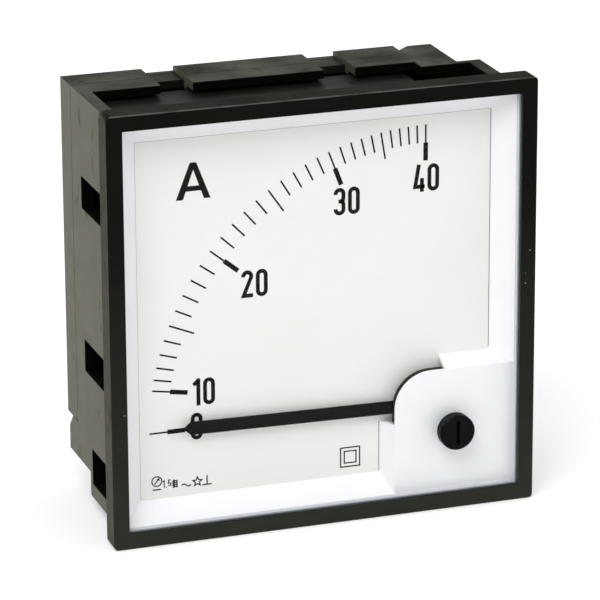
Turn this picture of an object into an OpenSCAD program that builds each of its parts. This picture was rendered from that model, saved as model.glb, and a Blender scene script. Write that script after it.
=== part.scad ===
// Square panel ammeter with a quarter-circle scale and a moving-iron movement.
// Millimetres. The origin is the centre of the panel cut-out, in the plane where the front frame meets the panel.
// +Y runs into the panel, +Z is up, and the dial faces -Y.

/* [Front frame] */
// Width and height of the square front frame
bezel_w = 96; // [94:0.5:99]
// Depth of the front frame, from its face to the panel
bezel_t = 5.5; // [5.4:0.1:6.5]
// Width of the band around the window
bezel_band = 3.5; // [3.4:0.1:3.8]
// How far the frame overlaps the panel, beyond the housing
panel_lap = 2.75; // [2.4:0.05:2.9]
// Bevel along the front edges
bezel_bevel = 0.25; // [0.2:0.05:0.8]
// Radius of the four outer corners
bezel_corner_r = 1.2; // [0.8:0.1:2]
// Thickness of the lip that holds the glass
lip_t = 0.7; // [0.3:0.1:0.8]
// How far the lip covers the glass
lip_w = 0.4; // [0.3:0.05:0.4]
// Thickness of the window glass
glass_t = 2.1; // [1.8:0.1:2.5]

/* [Mask and dial] */
// Thickness of the mask's flange, behind the glass
flange_t = 1.2; // [1:0.1:1.3]
// Flat ledge of the mask that shows inside the frame
mask_ledge = 0.3; // [0.2:0.1:0.5]
// Wall of the mask
mask_wall = 1.0; // [0.8:0.1:1.2]
// Depth of the dial's face behind the face of the front frame
dial_depth = 7.0; // [6.9:0.1:8]
// Width of the mask's sloping sides, from the ledge in to the dial that shows
mask_flare = 4.2; // [3:0.1:5]
// Thickness of the dial plate
dial_t = 0.8; // [0.5:0.1:1.2]
// How far the dial plate reaches behind the mask
dial_lap = 1.8; // [1:0.1:2]
// Distance of the pivot from the right and bottom edges of the visible dial
pivot_inset = 15; // [14:0.5:16]

/* [Corner cover] */
// Radius of the cover's rounded corner, about the pivot
cover_r = 8.3; // [8:0.1:9]
// How far past the pivot the pointer's way stays open
cover_way = 3.3; // [3:0.1:3.6]
// How far the cover's side walls spread towards the dial
cover_spread = 2.15; // [1.5:0.05:2.5]
// Thickness of the cover's front plate
cover_plate_t = 0.5; // [0.4:0.05:0.6]

/* [Pointer] */
// Width of the pointer's bar
pointer_w = 2.9; // [2:0.1:3.2]
// Thickness of the pointer's sheet
pointer_t = 0.3; // [0.2:0.05:0.35]
// Gap between the scale's outer radius and the edge of the dial
scale_margin = 2.3; // [1.5:0.1:4]
// Distance of the needle's tip inside the scale's outer radius
tip_margin = 3.8; // [2:0.1:6]
// Length of the thin needle at the end of the bar
needle_l = 5.8; // [4:0.1:8]
// Width of the thin needle
needle_w = 0.5; // [0.3:0.05:0.8]
// Angle above the scale's zero at which the pointer rests
pointer_rest = 0.9; // [0:0.1:2]
// Turn from rest down to the lower stop
turn_down = 3; // [1:0.5:4]
// Turn from rest up to the upper stop
turn_up = 92; // [90:0.5:93]
// Distance of the pointer's crank from the pivot
crank_r = 5.8; // [5.7:0.05:6]

/* [Zero adjuster] */
// Sideways distance of the adjuster from the pivot
adjuster_dx = 4.6; // [4.4:0.1:4.9]
// Distance of the adjuster below the pivot
adjuster_dz = 5.0; // [4.8:0.1:5.3]
// Diameter of the adjuster's head
head_d = 8; // [7:0.1:9]
// Height of the adjuster's head
head_t = 2.4; // [1.5:0.1:2.8]
// Diameter of the adjuster's shank
shank_d = 4; // [3:0.1:4.4]
// Length of the screwdriver slot
slot_l = 5.2; // [4:0.1:6]
// Width of the screwdriver slot
slot_w = 0.8; // [0.6:0.1:1]
// Offset of the eccentric pin from the adjuster's axis
eccentric = 1.0; // [0.8:0.05:1.1]
// Diameter of the eccentric pin
pin_d = 1.2; // [1:0.1:1.4]

/* [Movement] */
// Thickness of the front bridge
bridge_t = 1.5; // [1.3:0.1:1.5]
// Thickness of the zero lever
lever_t = 0.4; // [0.3:0.05:0.45]
// Number of turns of the hairspring
spring_turns = 4; // [3:1:5]
// Thickness of the hairspring's strip
spring_strip = 0.18; // [0.12:0.02:0.22]
// Diameter of the spindle
spindle_d = 1.2; // [1:0.1:1.4]
// Radius at which the balance weights sit
weight_r = 7.8; // [7:0.1:7.9]
// Diameter of each balance weight
weight_d = 3.0; // [2.6:0.1:3.5]
// Length of each balance weight
weight_l = 3.2; // [2:0.1:3.3]
// Thickness of the dial carrier's panel
carrier_t = 2.0; // [2:0.1:2.6]
// Gap between the carrier's shelf and the housing's top wall
shelf_gap = 0.7; // [0.4:0.1:1.2]
// Thickness of the movement frame's front plate
frame_t = 2.0; // [2:0.1:2.4]
// Gap between the movement frame and the housing's walls
frame_gap = 0.85; // [0.5:0.05:1.5]
// Thickness of the movement frame's rear bar
bar_t = 1.4; // [1.2:0.1:1.8]
// Length of the coil bobbin
coil_l = 11.1; // [9.5:0.1:11.1]
// Bore of the coil bobbin
coil_bore_d = 14; // [13.6:0.1:14.4]
// Wall of the bobbin's tube and flanges
bobbin_wall = 1.0; // [0.8:0.1:1.2]
// Outer diameter of the bobbin's flanges
flange_d = 28.4; // [26:0.2:28.6]
// How far the winding stays below the flanges
winding_margin = 0.8; // [0.4:0.1:2]
// Thickness of the two iron vanes
vane_t = 0.4; // [0.3:0.05:0.5]
// Wall of the magnetic shield
shield_t = 0.6; // [0.4:0.1:0.8]

/* [Housing] */
// Depth of the square front block behind the panel's front face
front_l = 21.8; // [21.4:0.1:26]
// Depth of the whole housing, to the back of its cover
rear_l = 39.2; // [38:0.1:44]
// How far the rear block stands in from the right and bottom sides
rear_step = 5.45; // [4:0.05:5.6]
// Thickness of the side walls
wall_t = 2.9; // [2.4:0.1:3]
// Thickness of the top wall
top_t = 1.9; // [1.2:0.1:2.1]
// Thickness of the thin rim inside the front frame
rim_t = 1.05; // [0.9:0.05:1.1]
// Width of the windows and notches that take a fixing clamp
clip_w = 7.25; // [6:0.05:9]
// Distance of the upper clamp window from the middle
clip_upper = 23.4; // [20:0.1:26]
// Distance of the lower clamp window from the middle
clip_lower = 13.6; // [11:0.1:16]
// Depth at which the clamp windows end
clip_end = 24.3; // [22.4:0.1:26]
// Depth at which the clamp windows and the top slot begin
clip_start = 6; // [5:0.1:8]
// Depth at which the top slot ends, at the tongues
tongue_y = 24.5; // [23:0.1:26]
// Depth at which the corner windows end
corner_end = 20.1; // [16:0.1:20.2]
// Length of the top slot's short end, at the right-hand corner
corner_l = 11.35; // [9:0.05:13]
// Height of the corner window in the left side
corner_w = 8.2; // [6:0.1:8.4]

/* [Rear cover and terminals] */
// Margin of the rear block that the cover leaves free, right and below
cover_margin = 8.3; // [7:0.1:9]
// Depth of the cover's skirt over the left and top sides
skirt_l = 8.0; // [6:0.1:8.4]
// Thickness of the cover's skirt
skirt_t = 1.0; // [0.8:0.05:1.2]
// Thickness of the cover's plate
cover_t = 2.0; // [1.6:0.1:2.4]
// How far the cover's plate stands behind the margin beside it
cover_proud = 1.2; // [0.6:0.1:1.6]
// Diameter of the terminal studs
stud_d = 5; // [4:0.1:6]
// Distance between the terminal studs
stud_pitch = 30; // [24:0.5:34]
// Height of the terminal studs above the middle
stud_z = 7; // [3:0.5:12]
// Length of stud behind the cover
stud_l = 12; // [10:0.5:16]

/* [Hidden] */
$fn = 96;

// Clearances: fit between parts that drop together, running fit of a shaft, room around moving parts, cut overshoot
fit = 0.1;
run = 0.05;
room = 0.3;
cut = 1;

// Depths, front to back
y_face = -bezel_t;
y_glass = y_face + lip_t;
y_glass_back = y_glass + glass_t;
y_flange_back = y_glass_back + flange_t;
y_cover = y_glass_back + run;
y_bridge = y_cover + cover_plate_t;
y_bridge_back = y_bridge + bridge_t;
y_lever = y_bridge_back + fit;
y_lever_back = y_lever + lever_t;
y_spring = y_lever_back + fit;
spring_h = 0.3;
y_spring_back = y_spring + spring_h;
y_pointer = y_bridge_back + 2 * fit;
y_dial = y_face + dial_depth;
y_arm = y_dial - room - pointer_t;
y_dial_back = y_dial + dial_t;
y_carrier_back = y_dial_back + carrier_t;
y_frame_back = y_carrier_back + frame_t;
y_coil_back = y_frame_back + coil_l;
y_bar_back = y_coil_back + bar_t;

// Half-widths, outside to inside
bezel_h = bezel_w / 2;
body_h = bezel_h - panel_lap;
window_h = bezel_h - bezel_band;
pocket_h = window_h + lip_w;
rim_h = body_h - rim_t;
carrier_h = rim_h - fit;
side_h = body_h - wall_t;
top_h = body_h - top_t;
corner_from = side_h - corner_l;
dial_h = window_h - mask_ledge - mask_flare;
rear_h = body_h - rear_step;
rear_side_h = rear_h - wall_t;

// The pivot, the adjuster and the pointer's reach
pivot = [dial_h - pivot_inset, -(dial_h - pivot_inset)];
adjuster = pivot + [adjuster_dx, -adjuster_dz];
adjuster_reach = norm([adjuster_dx, adjuster_dz]);
adjuster_angle = atan2(-adjuster_dz, adjuster_dx);
scale_r = 2 * dial_h - pivot_inset - scale_margin;
tip_r = scale_r - tip_margin;
pointer_angle = 180 - pointer_rest;
tail_angle = -pointer_rest;

// Corner cover: its free edges and where its side walls start
cover_edge = pivot[0] - cover_r;
cover_start = pivot[0] + cover_way;
cover_hollow = cover_edge + cover_spread;

// Rear block, cover and clamp windows
cover_h = rear_h - cover_margin;
cover_seam = 0.15;
y_skirt = rear_l - skirt_l;
y_plate = rear_l - cover_t;
y_margin = rear_l - cover_proud;
ledge_t = 2.0;
ledge_w = 3.5;
y_ledge = y_plate - ledge_t;
chamfer = y_margin - y_ledge;
lap_h = body_h - skirt_t - run;
lap_in = lap_h - 1.7;
y_rib = y_skirt - 2.2;
shelf_t = 1.2;
shelf_top = top_h - shelf_gap;
shelf_end = y_rib - 0.5;
shelf_rib_h = 7;
shelf_rib_x = 14;
shelf_right = corner_from - 2.15;
left_windows = [clip_upper, -clip_lower];
top_notches = [-clip_upper, clip_lower];

// Movement sizes
screw_r = 1.0;
spindle_r = spindle_d / 2;
bush = 0.02;
balance_y = (y_dial_back + y_frame_back) / 2 - 0.05;
balance_hole_r = 10.5;
movement_hole_r = 14.6;
shield_r = flange_d / 2 + room;
leg_d = 5;
leg_at = shield_r + shield_t + 0.4 + leg_d / 2;
bar_w = 7;
frame_h = side_h - pivot[0] - frame_gap;
frame_screw_at = frame_h - 2 * screw_r;
post_at = [11.5, 3.5];
head_h = 1.1;
post_r = 2 * screw_r;
bearing_r = 1.5;
rear_bearing_r = 2.0;
bearing_nut_t = 1.6;
boss_r = bearing_r + 0.9;
cone_l = 1.2;
spring_in_r = 1.25;
anchor_r = 5.3;
fixed_vane_r = coil_bore_d / 2 - run;
moving_vane_r = fixed_vane_r - vane_t - 0.65;
moving_span = 60;
fixed_span = 130;
vane_taper = 24;
hub_r = 1.5;
rod_r = 0.35;
weight_spread = 35;
stop_r = 7.1;
stop_pin_r = 0.5;
lead_r = 0.6;
stud_middle = (cover_h - body_h) / 2;
studs = [[stud_middle - stud_pitch / 2, stud_z], [stud_middle + stud_pitch / 2, stud_z]];
stud_head_t = stud_d / 2;
// pitch radius of the studs' thread, where the nuts engage it
thread_r = 0.448 * stud_d;
cover_screw_r = 1.25;
sunk = 1.0;
washer_t = 1.0;
nut_t = 4.0;
boss_at = [[-(side_h - 3.2), lap_in - 3.2], [cover_h - 2.1, lap_in - 3.2],
    [-(side_h - 3.2), -(cover_h - 2.1)], [cover_h - 2.1, -(cover_h - 2.1)]];

// Children: an outline in X and Z. The result fills it from depth y0 to depth y1.
module slab(y0, y1) {
    translate([0, y1, 0]) rotate([90, 0, 0]) linear_extrude(height = y1 - y0) children();
}

module at(point) {
    translate([point[0], point[1]]) children();
}

module rectangle(x0, x1, z0, z1) {
    translate([x0, z0]) square([x1 - x0, z1 - z0]);
}

module centred(half) {
    square([2 * half, 2 * half], center = true);
}

module round_square(half, r) {
    square([2 * half, 2 * (half - r)], center = true);
    square([2 * (half - r), 2 * half], center = true);
    for (sx = [-1, 1], sz = [-1, 1]) translate([sx * (half - r), sz * (half - r)]) circle(r);
}

// Part of a ring, from angle a0 over a span of under 180 degrees
module ring_part(r_in, r_out, a0, span) {
    far = 2 * r_out;
    intersection() {
        difference() {
            circle(r_out);
            circle(r_in);
        }
        polygon([[0, 0], far * [cos(a0), sin(a0)], far * [cos(a0 + span / 2), sin(a0 + span / 2)],
            far * [cos(a0 + span), sin(a0 + span)]]);
    }
}

// A point in X and Z, in the plane of depth y
function deep(point, y) = [point[0], y, point[1]];

// A turned part along Y: pairs of radius and depth
module turned(point, profile) {
    translate([point[0], 0, point[1]]) rotate([-90, 0, 0]) rotate_extrude() polygon(profile);
}

// A hollow pyramid with square ends, solid inside: half-width h0 at depth y0 and h1 at depth y1
module funnel(y0, h0, y1, h1) {
    corners = [[-1, -1], [1, -1], [1, 1], [-1, 1]];
    polyhedron(points = concat([for (c = corners) deep(h0 * c, y0)], [for (c = corners) deep(h1 * c, y1)]),
        faces = [[3, 2, 1, 0], [4, 5, 6, 7], [0, 1, 5, 4], [1, 2, 6, 5], [2, 3, 7, 6], [3, 0, 4, 7]]);
}

// Rod between two points in X and Z, at one depth
module cross_rod(p0, p1, y, r) {
    way = p1 - p0;
    translate(deep(p0, y)) rotate([0, 90 - atan2(way[1], way[0]), 0]) cylinder(h = norm(way), r = r);
}

// Smooth curve through points, and a round tube along it
function curve_point(a, b, c, d, t) = 0.5 * (2 * b + (c - a) * t + (2 * a - 5 * b + 4 * c - d) * t * t
    + (3 * b - a - 3 * c + d) * t * t * t);
function curve(points, steps) = let (n = len(points) - 1) concat([for (i = [0:n - 1], k = [0:steps - 1])
    curve_point(points[max(i - 1, 0)], points[i], points[i + 1], points[min(i + 2, n)], k / steps)], [points[n]]);
function unit(v) = v / norm(v);
function tangent(path, i) = unit(path[min(i + 1, len(path) - 1)] - path[max(i - 1, 0)]);
function tube_ring(path, i, r, sides) = let (t = tangent(path, i), u = unit(cross(t, [0, 0, 1])), v = cross(t, u))
    [for (k = [0:sides - 1]) path[i] + r * (cos(360 * k / sides) * u + sin(360 * k / sides) * v)];

module tube(path, r, sides) {
    n = len(path);
    points = [for (i = [0:n - 1], p = tube_ring(path, i, r, sides)) p];
    walls = [for (i = [0:n - 2], k = [0:sides - 1]) [i * sides + k, (i + 1) * sides + k,
        (i + 1) * sides + (k + 1) % sides, i * sides + (k + 1) % sides]];
    caps = [[for (k = [0:sides - 1]) k], [for (k = [sides - 1:-1:0]) (n - 1) * sides + k]];
    polyhedron(points = points, faces = concat(walls, caps));
}

// Bevel cutters along the four front edges of the square frame
module edge_bevels(half, y, size) {
    for (turn = [0:3]) rotate([0, 90 * turn, 0]) translate([0, y, half]) rotate([45, 0, 0])
        cube([4 * half, size * sqrt(2), size * sqrt(2)], center = true);
}

module bezel() {
    color([0.12, 0.12, 0.11]) difference() {
        slab(y_face, 0) round_square(bezel_h, bezel_corner_r);
        edge_bevels(bezel_h, y_face, bezel_bevel);
        slab(y_face - cut, cut) centred(window_h);
        slab(y_glass, cut) centred(pocket_h);
        slab(y_flange_back, cut) centred(body_h + run);
        snap_ridges(y_flange_back + 0.2, -0.2, body_h + run - 0.2, 0.65);
    }
}

// Snap ridges of the housing's rim, or the grooves for them: one on each side
module snap_ridges(y0, y1, half, height) {
    length = 36;
    for (turn = [0:3]) rotate([0, 90 * turn, 0]) translate([-length / 2, y0, half]) cube([length, y1 - y0, height]);
}

module window_glass() {
    color([0.85, 0.95, 0.95, 0.35]) difference() {
        slab(y_glass, y_glass_back) centred(pocket_h - fit);
        slab(y_glass - cut, y_glass_back + cut) at(adjuster) circle(shank_d / 2 + room);
    }
}

// Outline of the cover's front plate: a square corner rounded about the pivot
module cover_outline(edge, end) {
    difference() {
        rectangle(edge, end, -end, -edge);
        difference() {
            rectangle(edge - cut, pivot[0], pivot[1], -edge + cut);
            at(pivot) circle(pivot[0] - edge);
        }
    }
}

module cover_walls() {
    foot = cover_edge - cover_spread;
    profile = [[cover_edge, y_cover], [foot, y_dial], [foot + mask_wall, y_dial],
        [cover_edge + mask_wall, y_cover]];
    end = dial_h + mask_flare;
    translate([0, 0, -end]) linear_extrude(height = end - cover_start) polygon(profile);
    translate([cover_start, 0, 0]) rotate([90, 0, 90]) linear_extrude(height = end - cover_start)
        polygon([for (p = profile) [p[1], -p[0]]]);
}

module front_mask() {
    opening = dial_h + mask_flare;
    flare = mask_flare;
    color([0.96, 0.96, 0.95]) difference() {
        union() {
            difference() {
                union() {
                    slab(y_glass_back, y_flange_back) centred(pocket_h - fit);
                    slab(y_flange_back - fit, y_dial_back) centred(carrier_h);
                }
                // hollow behind the bevels, then the bevels' own opening
                difference() {
                    slab(y_flange_back, y_dial_back + cut) centred(carrier_h - mask_wall);
                    funnel(y_glass_back, opening + mask_wall, y_dial, dial_h + mask_wall);
                }
                funnel(y_glass_back - fit, opening + fit * flare / (y_dial - y_glass_back), y_dial + fit,
                    dial_h - fit * flare / (y_dial - y_glass_back));
            }
            slab(y_cover, y_bridge) cover_outline(cover_edge, opening + fit);
            cover_walls();
        }
        slab(y_cover - cut, y_bridge + cut) at(adjuster) circle(shank_d / 2 + room);
    }
}

module dial_plate() {
    color([0.95, 0.95, 0.93]) difference() {
        slab(y_dial, y_dial_back) centred(dial_h + dial_lap);
        slab(y_dial - cut, y_dial_back + cut) at(pivot) circle(4);
        for (post = [post_at, [-post_at[1], -post_at[0]]])
            slab(y_dial - cut, y_dial_back + cut) at(pivot + post) circle(post_r + room);
    }
}

module dial_carrier() {
    color([0.1, 0.1, 0.1]) difference() {
        union() {
            slab(y_dial_back, y_carrier_back) centred(carrier_h);
            slab(y_dial_back, shelf_end) rectangle(-side_h + room, shelf_right,
                shelf_top - shelf_t, shelf_top);
            // ribs that hang from the shelf and stiffen it
            for (x = [-side_h + room, -shelf_rib_x, shelf_rib_x, shelf_right - shelf_t])
                slab(y_dial_back, shelf_end) rectangle(x, x + shelf_t, shelf_top - shelf_rib_h, shelf_top);
        }
        slab(y_dial_back - cut, y_carrier_back + cut) at(pivot) circle(movement_hole_r);
        for (way = [-1, 1]) slab(y_dial_back + 0.2, y_carrier_back + cut)
            at(pivot + frame_screw_at * [way, -way]) circle(screw_r + bush);
    }
}

module front_bridge() {
    post_places = [post_at, [-post_at[1], -post_at[0]]];
    margin = mask_wall + cover_spread / 2;
    color([0.08, 0.08, 0.08]) difference() {
        union() {
            slab(y_bridge, y_bridge_back) difference() {
                cover_outline(cover_edge, dial_h + 0.5);
                rectangle(cover_edge - cut, cover_edge + margin, -bezel_h, -cover_start + room);
                rectangle(cover_start - room, bezel_h, -cover_edge - margin, -cover_edge + cut);
            }
            for (post = post_places) slab(y_bridge_back - fit, y_carrier_back) at(pivot + post) circle(post_r);
            slab(y_bridge_back - fit, y_lever_back) at(pivot) circle(boss_r);
            // two pins that stop the pointer
            for (angle = stop_angles()) slab(y_bridge_back - fit, y_pointer + pointer_t + fit)
                at(pivot + stop_r * [cos(angle), sin(angle)]) circle(stop_pin_r);
        }
        slab(y_bridge - cut, y_lever_back + cut) at(pivot) circle(bearing_r + bush);
        slab(y_bridge - cut, y_bridge_back + cut) at(adjuster) circle(shank_d / 2 + run);
        for (post = post_places) {
            slab(y_bridge - cut, y_carrier_back + cut) at(pivot + post) circle(screw_r + fit);
            slab(y_bridge - cut, y_bridge + head_h) at(pivot + post) circle(post_r);
        }
    }
}

// Directions of the two stop pins, measured from +X
function stop_angles() = let (lean = asin((pointer_w / 2 + stop_pin_r + run) / stop_r))
    [pointer_angle + turn_down + lean, pointer_angle - turn_up - lean];

module bridge_screws() {
    color([0.75, 0.73, 0.68]) for (post = [post_at, [-post_at[1], -post_at[0]]]) difference() {
        turned(pivot + post, [[0, y_bridge], [post_r - fit, y_bridge], [post_r - fit, y_bridge + head_h],
            [screw_r, y_bridge + head_h], [screw_r, y_frame_back - fit], [0, y_frame_back - fit]]);
        slab(y_bridge - cut, y_bridge + head_h / 2) at(pivot + post) square([lever_t, 3 * post_r], center = true);
    }
}

module front_bearing_screw() {
    color([0.72, 0.58, 0.3]) difference() {
        slab(y_bridge, y_lever_back) at(pivot) circle(bearing_r);
        turned(pivot, [[0, y_spring - cone_l - 2 * fit], [spindle_r + room, y_lever_back + bush],
            [spindle_r + room, y_lever_back + cut], [0, y_lever_back + cut]]);
        slab(y_bridge - cut, y_bridge + lever_t) at(pivot) square([3 * bearing_r, lever_t], center = true);
    }
}

module zero_adjuster() {
    head_back = y_glass - fit;
    head_front = head_back - head_t;
    edge = 0.35;
    color([0.1, 0.1, 0.1]) difference() {
        union() {
            turned(adjuster, [[0, head_front], [head_d / 2 - edge, head_front], [head_d / 2, head_front + edge],
                [head_d / 2, head_back], [shank_d / 2, head_back], [shank_d / 2, y_bridge_back],
                [0, y_bridge_back]]);
            slab(y_bridge_back - fit, y_lever_back) at(adjuster - eccentric * unit(adjuster - pivot))
                circle(pin_d / 2);
        }
        slab(head_front - cut, head_front + head_t / 2) at(adjuster) square([slot_w, slot_l], center = true);
    }
}

module zero_lever() {
    slot_half = pin_d / 2 + fit + run;
    fork_in = adjuster_reach - eccentric - slot_half - 0.25;
    fork_out = adjuster_reach + 0.1;
    color([0.75, 0.6, 0.35]) {
        slab(y_lever, y_lever_back) at(pivot) difference() {
            union() {
                circle(boss_r + 1.5);
                rotate(adjuster_angle) rectangle(boss_r + 0.5, fork_out, -slot_half - 0.8, slot_half + 0.8);
                rectangle(boss_r + 0.5, anchor_r + 0.5, -0.7, 0.7);
            }
            circle(boss_r + run);
            rotate(adjuster_angle) rectangle(fork_in, fork_out + cut, -slot_half, slot_half);
        }
        // tab that holds the hairspring's outer end
        slab(y_lever, y_spring_back) at(pivot) rectangle(anchor_r, anchor_r + 0.5, -0.7, 0.7);
    }
}

module hairspring() {
    steps = 30 * spring_turns;
    rise = anchor_r - run - spring_strip / 2 - spring_in_r;
    middle = [for (i = [0:steps]) let (t = i / steps) [spring_in_r + rise * t, 360 * spring_turns * t]];
    edge = function(side) [for (m = middle) (m[0] + side * spring_strip / 2) * [cos(m[1]), sin(m[1])]];
    inner = edge(-1);
    color([0.8, 0.65, 0.3]) slab(y_spring, y_spring_back) at(pivot)
        polygon(concat(edge(1), [for (i = [steps:-1:0]) inner[i]]));
}

module pointer() {
    half = pointer_w / 2;
    needle = needle_w / 2;
    bar_end = tip_r - needle_l;
    color([0.05, 0.05, 0.05]) difference() {
        union() {
            slab(y_pointer, y_pointer + pointer_t) at(pivot) rotate(pointer_angle) polygon([[crank_r, -half],
                [bar_end - 1, -half], [bar_end, -needle], [tip_r, -needle / 2], [tip_r, needle / 2],
                [bar_end, needle], [bar_end - 1, half], [crank_r, half]]);
            slab(y_pointer, y_arm + pointer_t) at(pivot) rotate(pointer_angle)
                rectangle(crank_r, crank_r + pointer_t, -half, half);
            slab(y_arm, y_arm + pointer_t) at(pivot) rotate(pointer_angle)
                rectangle(0, crank_r + pointer_t, -half, half);
            slab(y_spring_back + room, y_arm + pointer_t) at(pivot) circle(hub_r + room);
        }
        slab(y_spring_back, y_dial) at(pivot) circle(spindle_r + bush);
    }
}

module spindle() {
    collet_r = spring_in_r - spring_strip / 2 - fit;
    color([0.8, 0.8, 0.82]) turned(pivot, [[0, y_spring - run - cone_l], [spindle_r, y_spring - run],
        [collet_r, y_spring - run], [collet_r, y_spring_back], [spindle_r, y_spring_back],
        [spindle_r, y_coil_back - cone_l / 2], [0, y_coil_back + cone_l / 2]]);
}

module balance_cross() {
    color([0.8, 0.65, 0.3]) difference() {
        union() {
            slab(balance_y - spindle_r, balance_y + spindle_r) at(pivot) circle(hub_r);
            for (side = [-1, 1]) let (way = tail_angle + side * weight_spread)
                cross_rod(pivot + [cos(way), sin(way)], pivot + (weight_r + weight_l / 2) * [cos(way), sin(way)],
                    balance_y, rod_r);
        }
        slab(balance_y - cut, balance_y + cut) at(pivot) circle(spindle_r + bush);
    }
}

module balance_weights() {
    color([0.72, 0.58, 0.3]) for (side = [-1, 1]) let (way = tail_angle + side * weight_spread,
        out = [cos(way), sin(way)]) difference() {
            cross_rod(pivot + (weight_r - weight_l / 2) * out, pivot + (weight_r + weight_l / 2) * out, balance_y,
                weight_d / 2);
            cross_rod(pivot + out, pivot + (weight_r + weight_l) * out, balance_y, rod_r + bush);
        }
}

module moving_vane() {
    y0 = y_frame_back + coil_l * 0.2;
    y1 = y_frame_back + coil_l * 0.8;
    arm0 = y_frame_back + coil_l * 0.38;
    arm1 = y_frame_back + coil_l * 0.62;
    color([0.6, 0.6, 0.62]) difference() {
        union() {
            slab(arm0, arm1) at(pivot) circle(hub_r);
            slab(arm0, arm1) at(pivot) rotate(tail_angle)
                rectangle(0, moving_vane_r - vane_t / 2, -vane_t / 2, vane_t / 2);
            slab(y0, y1) at(pivot) ring_part(moving_vane_r - vane_t, moving_vane_r,
                tail_angle - moving_span / 2, moving_span);
        }
        slab(arm0 - cut, arm1 + cut) at(pivot) circle(spindle_r + bush);
    }
}

module fixed_vane() {
    y0 = y_frame_back + coil_l * 0.17;
    y1 = y_frame_back + coil_l * 0.83;
    color([0.55, 0.55, 0.57]) difference() {
        slab(y0, y1) at(pivot) ring_part(fixed_vane_r - vane_t, fixed_vane_r,
            tail_angle + moving_span / 2 - fixed_span, fixed_span);
        // one end tapers, which sets how the scale is spaced
        translate(deep(pivot, y1)) rotate([0, 90 - tail_angle, 0]) rotate([0, 0, -vane_taper])
            translate([0, coil_bore_d / 2, 0]) cube([3 * coil_bore_d, coil_bore_d, 2 * coil_bore_d], center = true);
    }
}

module coil_bobbin() {
    bore = coil_bore_d / 2;
    out = flange_d / 2;
    color([0.85, 0.83, 0.75]) turned(pivot, [[bore, y_frame_back], [out, y_frame_back],
        [out, y_frame_back + bobbin_wall], [bore + bobbin_wall, y_frame_back + bobbin_wall],
        [bore + bobbin_wall, y_coil_back - bobbin_wall], [out, y_coil_back - bobbin_wall], [out, y_coil_back],
        [bore, y_coil_back]]);
}

module coil_winding() {
    inner = coil_bore_d / 2 + bobbin_wall + bush;
    out = flange_d / 2 - winding_margin;
    color([0.72, 0.4, 0.2]) turned(pivot, [[inner, y_frame_back + bobbin_wall], [out, y_frame_back + bobbin_wall],
        [out, y_coil_back - bobbin_wall], [inner, y_coil_back - bobbin_wall]]);
}

module magnetic_shield() {
    color([0.7, 0.7, 0.68]) slab(y_frame_back, y_coil_back) at(pivot) difference() {
        circle(shield_r + shield_t);
        circle(shield_r);
    }
}

module movement_frame() {
    color([0.65, 0.65, 0.66]) difference() {
        union() {
            slab(y_carrier_back, y_frame_back) at(pivot) centred(frame_h);
            slab(y_coil_back, y_bar_back) at(pivot) rotate(45)
                square([2 * leg_at + leg_d - 1, bar_w], center = true);
            for (side = [-1, 1]) slab(y_frame_back - fit, y_coil_back + fit) at(pivot) rotate(45)
                translate([side * leg_at, 0]) square([leg_d - 1, leg_d], center = true);
        }
        slab(y_carrier_back - cut, y_frame_back + cut) at(pivot) circle(balance_hole_r);
        slab(y_coil_back - cut, y_bar_back + cut) at(pivot) circle(rear_bearing_r + bush);
        for (post = [post_at, [-post_at[1], -post_at[0]]])
            slab(y_carrier_back - cut, y_frame_back + cut) at(pivot + post) circle(screw_r + bush);
        for (way = [-1, 1]) slab(y_carrier_back - cut, y_frame_back + cut)
            at(pivot + frame_screw_at * [way, -way]) circle(screw_r + fit);
    }
}

// Screw from the back: head behind depth y, shank in front of it
module rear_screw(point, y, head_r, head_h, shank_r, shank_l) {
    difference() {
        turned(point, [[0, y - shank_l], [shank_r, y - shank_l], [shank_r, y], [head_r, y],
            [head_r, y + head_h * 0.6], [head_r - head_h * 0.4, y + head_h], [0, y + head_h]]);
        for (turn = [0, 90]) slab(y + head_h * 0.4, y + head_h + cut) at(point) rotate(turn)
            square([head_r * 1.2, 0.5], center = true);
    }
}

module frame_screws() {
    color([0.75, 0.73, 0.68]) for (way = [-1, 1]) rear_screw(pivot + frame_screw_at * [way, -way], y_frame_back,
        1.9 * screw_r, 1.3 * screw_r, screw_r, frame_t + carrier_t - room);
}

module rear_bearing_screw() {
    front = y_coil_back - cone_l / 2 - fit;
    back = y_bar_back + bearing_nut_t + 2 * fit;
    color([0.72, 0.58, 0.3]) difference() {
        slab(front, back) at(pivot) circle(rear_bearing_r);
        turned(pivot, [[0, front - cut], [spindle_r + room, front - cut], [spindle_r + room, front - bush],
            [0, y_coil_back + cone_l / 2 + 2 * fit]]);
        slab(back - bar_t / 2, back + cut) at(pivot) square([3 * rear_bearing_r, lever_t], center = true);
    }
}

module rear_bearing_nut() {
    color([0.75, 0.6, 0.3]) slab(y_bar_back, y_bar_back + bearing_nut_t) at(pivot) difference() {
        circle(1.75 * rear_bearing_r, $fn = 6);
        circle(rear_bearing_r + bush);
    }
}

module coil_leads() {
    steps = 5;
    starts = [[-11.2, 5.5], [-5.5, 11.2]];
    bends = [[4, -8], [16, -4]];
    head = y_plate - stud_head_t;
    color([0.7, 0.25, 0.15]) for (i = [0, 1]) tube(curve([deep(pivot + starts[i], y_coil_back + fit),
        deep(pivot + starts[i], y_coil_back + 3), deep((pivot + starts[i] + bends[i]) / 2, y_coil_back + 7),
        deep((bends[i] + studs[i]) / 2, head - 5.5), deep(studs[i], head - 3), deep(studs[i], head - 1.5),
        deep(studs[i], head - fit)], steps), lead_r, 10);
}

// Cut shapes shared by the four sides: the clamp windows of one side wall, seen as an outline in Y and the side's run
module side_windows(last) {
    for (middle = left_windows) rectangle(clip_start, last, middle - clip_w / 2, middle + clip_w / 2);
}

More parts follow.
